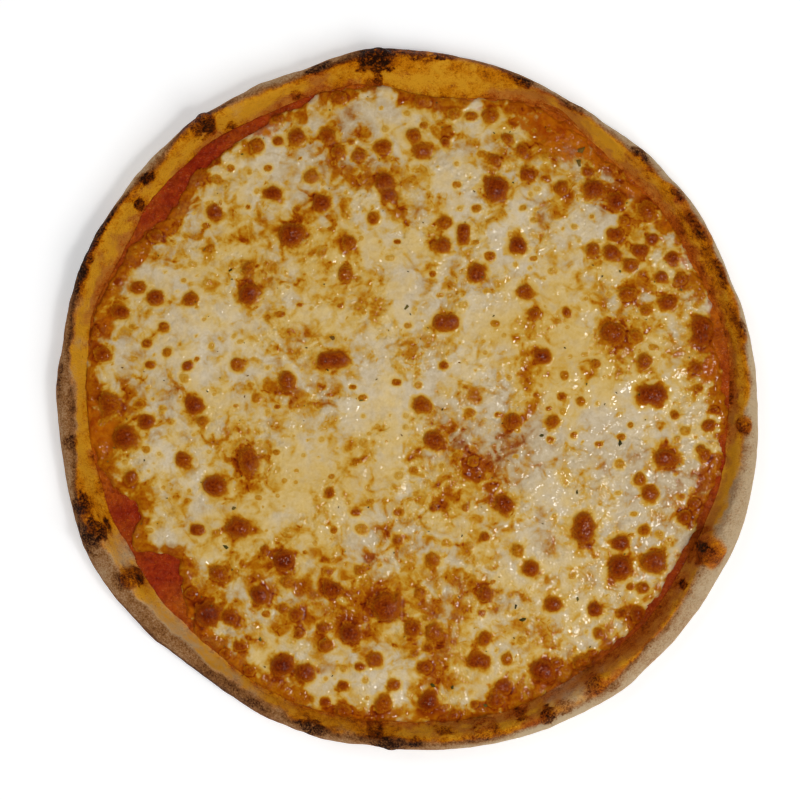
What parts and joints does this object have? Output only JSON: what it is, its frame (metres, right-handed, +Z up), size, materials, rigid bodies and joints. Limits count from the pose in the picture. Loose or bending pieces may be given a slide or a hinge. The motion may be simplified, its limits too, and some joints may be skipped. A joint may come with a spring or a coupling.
{
  "type": "margherita pizza",
  "caption": "Whole uncut margherita pizza: round dough with a raised scorched rim, tomato sauce and baked mozzarella with browned blisters.",
  "frame": {"origin": "middle of the flat underside of the dough", "axes": "+Z up out of the cheese; +X to the right and +Y away as the pizza is seen from above"},
  "size_m": [0.3201, 0.321, 0.0206],
  "materials": {
    "crust": null,
    "sauce": null,
    "cheese": null
  },
  "bodies": {
    "root": {"crust": "crust", "sauce": "sauce", "cheese": "cheese"}
  },
  "joints": []
}
